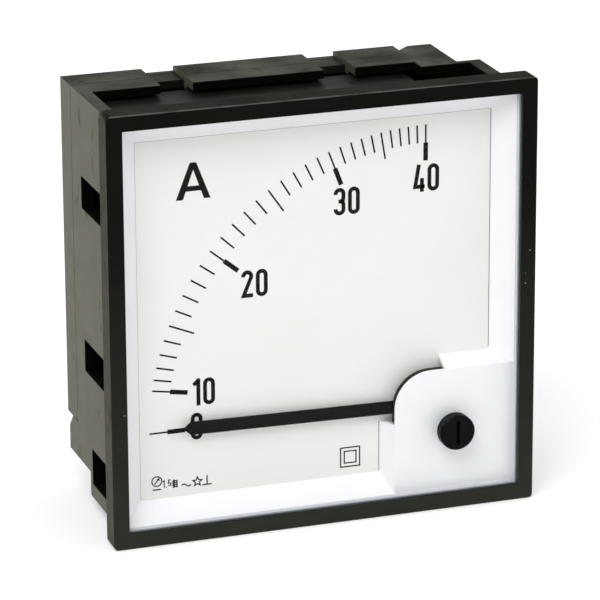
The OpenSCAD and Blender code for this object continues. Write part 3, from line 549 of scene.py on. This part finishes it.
# Narrow engineering numerals, all in a box of one size: each is a list of strokes, closed or not
DIGIT_WIDTH = 2.67
DIGIT_HEIGHT = 6.1
PEN = 0.88
BOWL = (DIGIT_WIDTH - PEN) / 2
MIDDLE = DIGIT_WIDTH / 2
LOW = PEN / 2 + BOWL
HIGH = DIGIT_HEIGHT - PEN / 2 - BOWL
RIGHT = DIGIT_WIDTH - PEN / 2
DIGITS = {
    "0": [(arc(MIDDLE, HIGH, BOWL, 180, 0) + arc(MIDDLE, LOW, BOWL, 0, -180), True)],
    "1": [([(1.34, 0), (1.34, DIGIT_HEIGHT)], False), ([(1.6, 5.95), (0.25, 4.72)], False)],
    "2": [(arc(MIDDLE, HIGH, BOWL, 188, -22) + [(0.5, PEN / 2), (2.62, PEN / 2)], False)],
    "3": [(arc(MIDDLE, HIGH, BOWL, 188, 0) + arc(RIGHT - 0.75, 3.85, 0.75, -15, -90, 6), False),
          ([(1.1, 3.1), (1.75, 3.1)], False),
          (arc(RIGHT - 0.75, 2.35, 0.75, 90, 15, 6) + arc(MIDDLE, LOW, BOWL, 0, -188), False)],
    "4": [([(1.28, DIGIT_HEIGHT), (0.42, 1.17), (2.62, 1.17)], False), ([(1.98, 0), (1.98, 3.05)], False)],
    "5": [([(RIGHT, DIGIT_HEIGHT - PEN / 2), (0.6, DIGIT_HEIGHT - PEN / 2), (0.45, 3.2)]
           + arc(MIDDLE, 1.95 + PEN / 2, BOWL + 0.15, 130, -150), False)],
}


def draw_digit(sheet, digit, x, z, scale=1.0, pen=PEN):
    """Draws a digit with its lower left corner at x, z."""
    for points, closed in DIGITS[digit]:
        sheet.stroke([(x + scale * p[0], z + scale * p[1]) for p in points], pen, closed)


# ---------------------------------------------------------------- the dial's print

# Scale: centred on the spindle, with its last mark straight up and its zero to the left
SPINDLE = span("spindle")
PIVOT = ((SPINDLE[0][0] + SPINDLE[1][0]) / 2, (SPINDLE[0][2] + SPINDLE[1][2]) / 2)
SCALE_RADIUS = 62.7
SHORT_MARK = 4.0
LONG_MARK = 6.0
BAR_LENGTH = 4.0
BAR_WIDTH = 1.05
MARK_WIDTH = 0.38
FULL_SCALE = 40
FIRST_MARK = 10
# Degrees for each power of the share of full scale: a moving iron's scale, crowded at both ends
SCALE_CURVE = (13.0, -155.0, 725.7, -751.7, 258.0)


def scale_angle(amps):
    """Degrees from the zero mark, clockwise. The curve holds from the first mark up."""
    if amps == 0:
        return 0.0
    return sum(degrees * (amps / FULL_SCALE)**power for power, degrees in enumerate(SCALE_CURVE))


def on_scale(angle, radius):
    """The point at that many degrees from the zero mark and that far from the pivot."""
    turn = math.radians(180 - angle)
    return (PIVOT[0] + radius * math.cos(turn), PIVOT[1] + radius * math.sin(turn))


def print_scale(dial_y):
    """The scale's marks: longer at the odd fives, and with a heavy bar below them at the tens."""
    marks = Print(dial_y)
    for amps in [0, *range(FIRST_MARK, FULL_SCALE + 1)]:
        angle = scale_angle(amps)
        length = LONG_MARK if amps % 5 == 0 and amps % 10 else SHORT_MARK
        inner = SCALE_RADIUS - length
        marks.stroke([on_scale(angle, inner), on_scale(angle, SCALE_RADIUS)], MARK_WIDTH)
        if amps % 10 == 0:
            marks.stroke([on_scale(angle, inner - BAR_LENGTH), on_scale(angle, inner)], BAR_WIDTH)
    marks.finish("scale_marks", MATERIALS["ink"])


# Lower left corner of each numeral
NUMERALS = {
    "40": (22.2, 22.8),
    "30": (4.1, 19.42),
    "20": (-16.75, 3.25),
    "10": (-27.98, -19.8),
    "0": (-28.45, -27.5),
}
DIGIT_PITCH = 3.25
# How much closer a digit stands to the narrow 1 before it
AFTER_ONE = 0.85


def print_numerals(dial_y):
    numerals = Print(dial_y)
    for text, (x, z) in NUMERALS.items():
        for digit in text:
            draw_digit(numerals, digit, x, z)
            x += DIGIT_PITCH - (AFTER_ONE if digit == "1" else 0)
    numerals.finish("scale_numerals", MATERIALS["ink"])


def print_unit(dial_y):
    """The unit letter, a heavy A: two legs from foot to head, and the bar between them."""
    letter = Print(dial_y)
    foot, head = 26.37, 34.4
    bar_foot, bar_head = 28.17, 29.3
    letter.plate([(-31.05, foot), (-27.87, head)], [(-29.47, foot), (-26.6, head)])
    letter.plate([(-24.84, foot), (-27.72, head)], [(-23.37, foot), (-26.45, head)])
    letter.plate([(-29.3, bar_foot), (-28.9, bar_head)], [(-25.1, bar_foot), (-25.5, bar_head)])
    letter.finish("unit_letter", MATERIALS["ink"])


# The small signs: the foot of their row, and their pens
ROW_FOOT = -38.05
SIGN_PEN = 0.29
OUTLINE_PEN = 0.9 * SIGN_PEN
CLASS_PEN = 0.23


def class_sign(signs):
    """Accuracy class 1.5."""
    foot = ROW_FOOT + 0.35
    size = 0.3
    draw_digit(signs, "1", -35.0, foot, size, CLASS_PEN)
    signs.stroke([(-34.12, foot), (-34.12, foot + 0.22)], CLASS_PEN)
    draw_digit(signs, "5", -33.8, foot, size, CLASS_PEN)


def movement_sign(signs):
    """Moving iron: a coil, drawn as a close zigzag, beside an iron bar."""
    middle, top, half, rise = -32.4, -36.1, 0.25, 0.22
    signs.stroke([(middle + half * (-1, 1)[i % 2], top - rise * i) for i in range(9)], SIGN_PEN)
    bar, bar_width = -31.75, 0.34
    signs.stroke([(bar, -36.2), (bar, -37.9)], bar_width)


def current_sign(signs):
    """Alternating current: one wave."""
    left, width, middle, swing, steps = -30.7, 2.1, ROW_FOOT + 0.42, 0.28, 20
    signs.stroke([(left + width * i / steps, middle + swing * math.sin(2 * math.pi * i / steps))
                  for i in range(steps + 1)], SIGN_PEN)


def voltage_sign(signs):
    """Test voltage: a five-pointed star."""
    x, z, radii = -27.13, -37.15, (1.08, 0.48)
    points = []
    for i in range(10):
        turn = math.radians(90 + 36 * i)
        points.append((x + radii[i % 2] * math.cos(turn), z + radii[i % 2] * math.sin(turn)))
    signs.stroke(points, OUTLINE_PEN, closed=True)


def upright_sign(signs):
    """Upright use: a post on a line."""
    left, post, right, top = -26.0, -24.94, -23.9, -35.95
    signs.stroke([(left, ROW_FOOT), (right, ROW_FOOT)], SIGN_PEN)
    signs.stroke([(post, ROW_FOOT), (post, top)], SIGN_PEN)


def insulation_sign(signs):
    """Double insulation: a square in a square."""
    x, z = 7.8, -35.85
    for half in (2.2, 1.35):
        signs.stroke([(x - half, z - half), (x + half, z - half), (x + half, z + half), (x - half, z + half)],
                     SIGN_PEN, closed=True)


def instrument_sign(signs):
    """Indicating instrument: a ring with an arrow in it, over a line."""
    signs.stroke(arc(-36.25, -36.0, 1.1, 0, 345, 23), OUTLINE_PEN, closed=True)
    signs.stroke([(-36.75, -36.6), (-35.85, -35.5)], OUTLINE_PEN)
    signs.stroke([(-36.2, -35.6), (-35.75, -35.4), (-35.72, -35.9)], OUTLINE_PEN)
    signs.stroke([(-37.2, -37.9), (-35.3, -37.9)], SIGN_PEN)


def print_signs(dial_y):
    signs = Print(dial_y)
    for draw in (class_sign, movement_sign, current_sign, voltage_sign, upright_sign, insulation_sign,
                 instrument_sign):
        draw(signs)
    signs.finish("dial_signs", MATERIALS["ink"])


def print_gap_shadows(dial_y):
    """Painted shadow: thin grey strips on the dial, where the mask and the corner cover stand on it."""
    gaps = Print(dial_y, thickness=0.02)
    # just inside the window's edge, and beside the corner cover: its left side is straight up to cover_corner
    edge, cover_left, cover_corner, cover_top = 39.9, 14.45, -28.3, -14.0
    wide, fine = 0.2, 0.06
    for points, width in (([(edge, cover_top), (edge, edge)], wide),
                          ([(cover_left, -edge), (cover_left, cover_corner)], wide),
                          ([(-edge, edge), (edge, edge)], fine),
                          ([(-edge, -edge), (-edge, edge)], fine)):
        gaps.stroke(points, width)
    gaps.finish("painted_gap_shadows", MATERIALS["shade"])


# The tip of the pointer's bar: distances from the pivot, and half widths
TIP_START = 51.9
TIP_SHOULDER = 54.0
TIP_END = 55.4
TIP_ANGLE = 179.1
BAR_HALF_WIDTH = 1.45
NEEDLE_HALF_WIDTH = 0.26
BAR_THICKNESS = 0.3
# How much thicker the tip is, so that no face of it lies in a face of the bar
TIP_EXTRA = 0.02


def pointer_tip():
    """The last stretch of the pointer's bar, which runs on over the zero before it narrows to the needle."""
    bar_front = span("pointer")[0][1]
    way = Vector((math.cos(math.radians(TIP_ANGLE)), math.sin(math.radians(TIP_ANGLE))))
    side = Vector((-way.y, way.x))
    tip = Print(bar_front + BAR_THICKNESS / 2, BAR_THICKNESS + TIP_EXTRA)
    rows = ((TIP_START, BAR_HALF_WIDTH), (TIP_SHOULDER, BAR_HALF_WIDTH), (TIP_END, NEEDLE_HALF_WIDTH))
    tip.plate(*[[Vector(PIVOT) + way * r + side * half * turn for r, half in rows] for turn in (1, -1)])
    tip.finish("pointer_tip", MATERIALS["pointer"], "pointer")


# ---------------------------------------------------------------- turned and threaded parts

def lathe(mesh, profile, steps, center, axis_start):
    """Adds a solid turned about the depth axis, or a prism if steps are few.

    profile is pairs of radius and depth, counted from axis_start.
    """
    rings = []
    for radius, depth in profile:
        if radius < 1e-6:
            rings.append([mesh.verts.new((center[0] * MM, (axis_start + depth) * MM, center[1] * MM))])
            continue
        rings.append([mesh.verts.new(((center[0] + radius * math.cos(2 * math.pi * i / steps)) * MM,
                                      (axis_start + depth) * MM,
                                      (center[1] + radius * math.sin(2 * math.pi * i / steps)) * MM))
                      for i in range(steps)])
    for one, two in zip(rings, rings[1:]):
        for i in range(steps):
            j = (i + 1) % steps
            face = [one[i % len(one)], one[j % len(one)], two[j % len(two)], two[i % len(two)]]
            unique = list(dict.fromkeys(face))
            if len(unique) > 2:
                mesh.faces.new(unique)


# The terminal studs: radii of the thread and of the head's corners, the pitch, and how fine the mesh is
STUD_RADIUS = 2.5
STUD_ROOT = 2.0
STUD_HEAD = 4.6
STUD_PITCH = 0.8
HEAD_SIDES = 6
STUD_STEPS = 40
ROWS_PER_TURN = 6
# Turns over which the thread runs out at the end, and how far the end is cut below its root
RUN_OUT = 0.75
END_CUT = 0.3
# How far the thread reaches into the head
THREAD_OVERLAP = 0.1
COVER_THICKNESS = 2.0


def threaded_rod(mesh, center, start, end):
    """Adds a stud's thread about the depth axis: one closed surface whose radius follows the helix."""
    count = math.ceil((end - start) / STUD_PITCH * ROWS_PER_TURN)
    rings = []
    for row in range(count + 1):
        depth = start + (end - start) * row / count
        chamfer = min(1.0, (end - depth) / (RUN_OUT * STUD_PITCH))
        ring = []
        for i in range(STUD_STEPS):
            turn = i / STUD_STEPS
            ridge = 1 - abs(2 * (((depth - start) / STUD_PITCH - turn) % 1.0) - 1)
            radius = STUD_ROOT + (STUD_RADIUS - STUD_ROOT) * ridge * chamfer - END_CUT * (1 - chamfer)
            ring.append(mesh.verts.new(((center[0] + radius * math.cos(2 * math.pi * turn)) * MM, depth * MM,
                                        (center[1] + radius * math.sin(2 * math.pi * turn)) * MM)))
        rings.append(ring)
    for one, two in zip(rings, rings[1:]):
        for i in range(STUD_STEPS):
            j = (i + 1) % STUD_STEPS
            mesh.faces.new((one[i], one[j], two[j], two[i]))
    mesh.faces.new(rings[0][::-1])
    mesh.faces.new(rings[-1])


def terminal_threads():
    """The terminal studs: hexagonal heads inside the cover, and threads out to their chamfered ends."""
    low, high = span("terminal_studs")
    cover_front = span("rear_cover")[1][1] - COVER_THICKNESS
    head_length = cover_front - low[1]
    head = [(0, 0), (STUD_HEAD, 0), (STUD_HEAD, head_length), (0, head_length)]
    height = (low[2] + high[2]) / 2
    mesh = bmesh.new()
    for x in (low[0] + STUD_HEAD, high[0] - STUD_HEAD):
        lathe(mesh, head, HEAD_SIDES, (x, height), low[1])
        threaded_rod(mesh, (x, height), cover_front - THREAD_OVERLAP, high[1])
    studs = add_piece("terminal_threads", mesh, MATERIALS["plated"], CASE)
    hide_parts("terminal_studs")


# ---------------------------------------------------------------- studio

WORLD_LIGHT = 0.87
# How far the object stands above the floor
FLOOR_GAP = 0.05
FLOOR_TONE = (0.8, 0.8, 0.8, 1)
FLOOR_GLOW = 0.3
# In metres
FLOOR_HALF = 6.0
# In metres and watts
KEY_PLACE = (-0.7, -0.95, 1.35)
KEY_SIDE = 0.9
KEY_POWER = 12.6


def key_lamp():
    """One soft lamp, above and to the left of the front, aimed at the middle."""
    data = bpy.data.lights.new("key_lamp", "AREA")
    data.shape = "SQUARE"
    data.size = KEY_SIDE
    data.energy = KEY_POWER
    lamp = bpy.data.objects.new("key_lamp", data)
    lamp.location = KEY_PLACE
    lamp.rotation_euler = (-Vector(KEY_PLACE)).to_track_quat("-Z", "Y").to_euler()
    lamp.visible_camera = False
    bpy.context.collection.objects.link(lamp)


def light_path(tree, names):
    """The largest of the named light path outputs."""
    path = tree.nodes.new("ShaderNodeLightPath")
    value = path.outputs[names[0]]
    for name in names[1:]:
        either = tree.nodes.new("ShaderNodeMath")
        either.operation = "MAXIMUM"
        tree.links.new(value, either.inputs[0])
        tree.links.new(path.outputs[name], either.inputs[1])
        value = either.outputs[0]
    return value


# Rays that show the plain white background: the camera's, and those that gloss and glass send on
BACKGROUND_RAYS = ["Is Camera Ray", "Is Glossy Ray", "Is Transmission Ray"]


def white_world():
    """Soft even light all round, and white wherever the background itself shows."""
    world = bpy.data.worlds.new("studio")
    bpy.context.scene.world = world
    world.use_nodes = True
    tree = world.node_tree
    tree.nodes.clear()
    mixed = tree.nodes.new("ShaderNodeMixShader")
    tree.links.new(light_path(tree, BACKGROUND_RAYS), mixed.inputs[0])
    for slot, color, strength in ((1, (0.98, 0.98, 1.0), WORLD_LIGHT), (2, (1.0, 1.0, 1.0), 1.0)):
        light = tree.nodes.new("ShaderNodeBackground")
        light.inputs["Color"].default_value = (*color, 1)
        light.inputs["Strength"].default_value = strength
        tree.links.new(light.outputs[0], mixed.inputs[slot])
    output = tree.nodes.new("ShaderNodeOutputWorld")
    tree.links.new(mixed.outputs[0], output.inputs["Surface"])


def pale_floor(floor_z):
    """A pale floor that keeps the object's shadow, and looks as white as the background beyond it."""
    data = bpy.data.meshes.new("floor")
    low = (floor_z - FLOOR_GAP) * MM
    corners = [(x * FLOOR_HALF, y * FLOOR_HALF, low) for x, y in ((-1, -1), (1, -1), (1, 1), (-1, 1))]
    data.from_pydata(corners, [], [(0, 1, 2, 3)])
    floor = bpy.data.objects.new("floor", data)
    bpy.context.collection.objects.link(floor)
    s = Shader("pale_floor")
    plain = s.node("BsdfDiffuse", Color=FLOOR_TONE).outputs[0]
    lit = s.node("AddShader")
    s.join(plain, lit.inputs[0])
    s.join(s.node("Emission", Color=(1, 1, 1, 1), Strength=FLOOR_GLOW).outputs[0], lit.inputs[1])
    data.materials.append(s.done(s.blend(light_path(s.tree, BACKGROUND_RAYS), plain, lit.outputs[0])))


def studio(floor_z):
    bpy.context.scene.view_settings.view_transform = "Standard"
    white_world()
    key_lamp()
    pale_floor(floor_z)


# ---------------------------------------------------------------- the whole

def build():
    bezel_low = span("bezel")[0]
    dial_y = span("dial_plate")[0][1]
    make_camera(bezel_low[1])
    finish_nodes()
    for name, radius in ROUNDS.items():
        round_edges(name, radius)
    terminal_threads()
    pointer_tip()
    for draw in (print_gap_shadows, print_scale, print_numerals, print_unit, print_signs):
        draw(dial_y)
    studio(bezel_low[2])


build()
